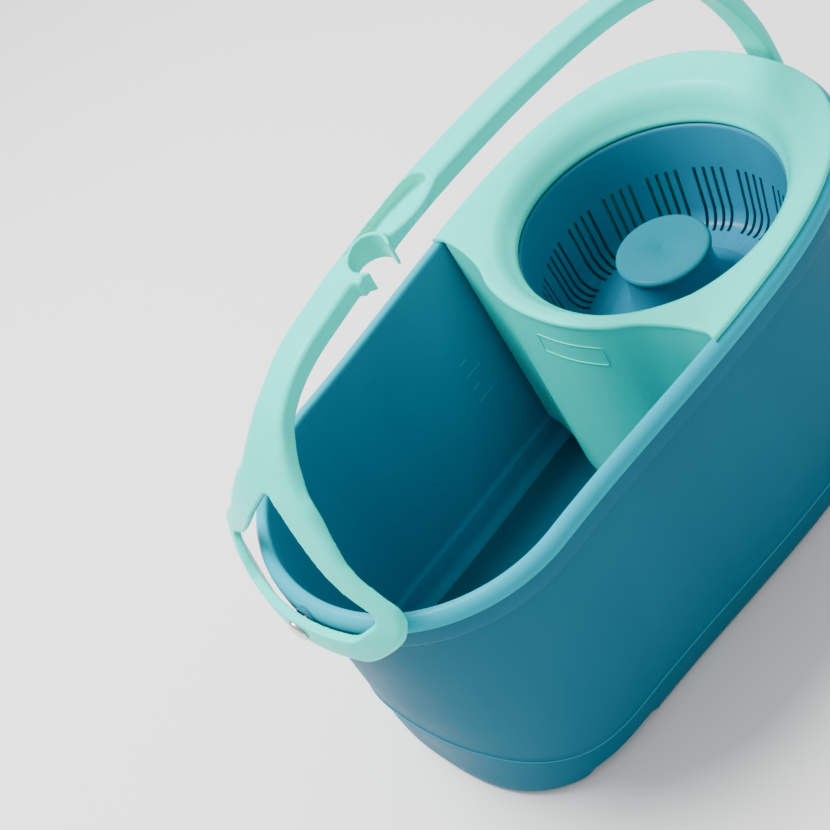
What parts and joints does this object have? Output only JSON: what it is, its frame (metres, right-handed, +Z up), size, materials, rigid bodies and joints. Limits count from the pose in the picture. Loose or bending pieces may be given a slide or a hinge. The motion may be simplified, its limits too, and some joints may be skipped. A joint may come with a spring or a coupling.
{
  "type": "spin mop bucket",
  "caption": "Oval wash bucket with pouring lip, drain insert with a turning slotted basket and post, and a swinging carrying bail with stick notch.",
  "frame": {"origin": "bottom centre of the whole object, on the soles of the foot pads", "axes": "+Z up, +X towards the basket end, the pouring lip and stirrup at -X, stick notch open towards -Y"},
  "size_m": [0.5094, 0.2578, 0.3727],
  "materials": {
    "tub_plastic": "semi-gloss moulded plastic",
    "insert_plastic": "semi-gloss moulded plastic",
    "handle_plastic": "satin moulded plastic",
    "bracket_plastic": "satin moulded plastic",
    "basket_plastic": "semi-gloss moulded plastic",
    "cap_plastic": "gloss moulded plastic",
    "steel": "plain stainless",
    "bearing_plastic": "natural acetal",
    "foot_rubber": "matte"
  },
  "bodies": {
    "bucket": {"bucket_tub": "tub_plastic", "spinner_insert": "insert_plastic", "spindle_bracket": "bracket_plastic", "spindle": "steel", "thrust_washer": "bearing_plastic", "retaining_washer": "steel", "spindle_screw": "steel", "bracket_screw_1": "steel", "bracket_screw_2": "steel", "bracket_screw_3": "steel", "bracket_screw_4": "steel", "front_pivot_pin": "steel", "rear_pivot_pin": "steel", "foot_pad_front_near": "foot_rubber", "foot_pad_front_far": "foot_rubber", "foot_pad_rear_near": "foot_rubber", "foot_pad_rear_far": "foot_rubber"},
    "basket": {"spin_basket": "basket_plastic", "basket_post": "basket_plastic", "post_cap": "cap_plastic", "upper_bush": "bearing_plastic", "lower_bush": "bearing_plastic"},
    "handle": {"carry_handle": "handle_plastic", "front_pivot_bush": "bearing_plastic", "rear_pivot_bush": "bearing_plastic"}
  },
  "joints": [
    {"name": "basket_spin", "type": "hinge", "parent": "bucket", "child": "basket", "pos_m": [0.105, 0, 0.125], "axis": [0, 0, 1], "continuous": true},
    {"name": "handle_swing", "type": "hinge", "parent": "bucket", "child": "handle", "pos_m": [0, 0, 0.1988], "axis": [1, 0, 0], "range_deg": [-45, 45]}
  ]
}
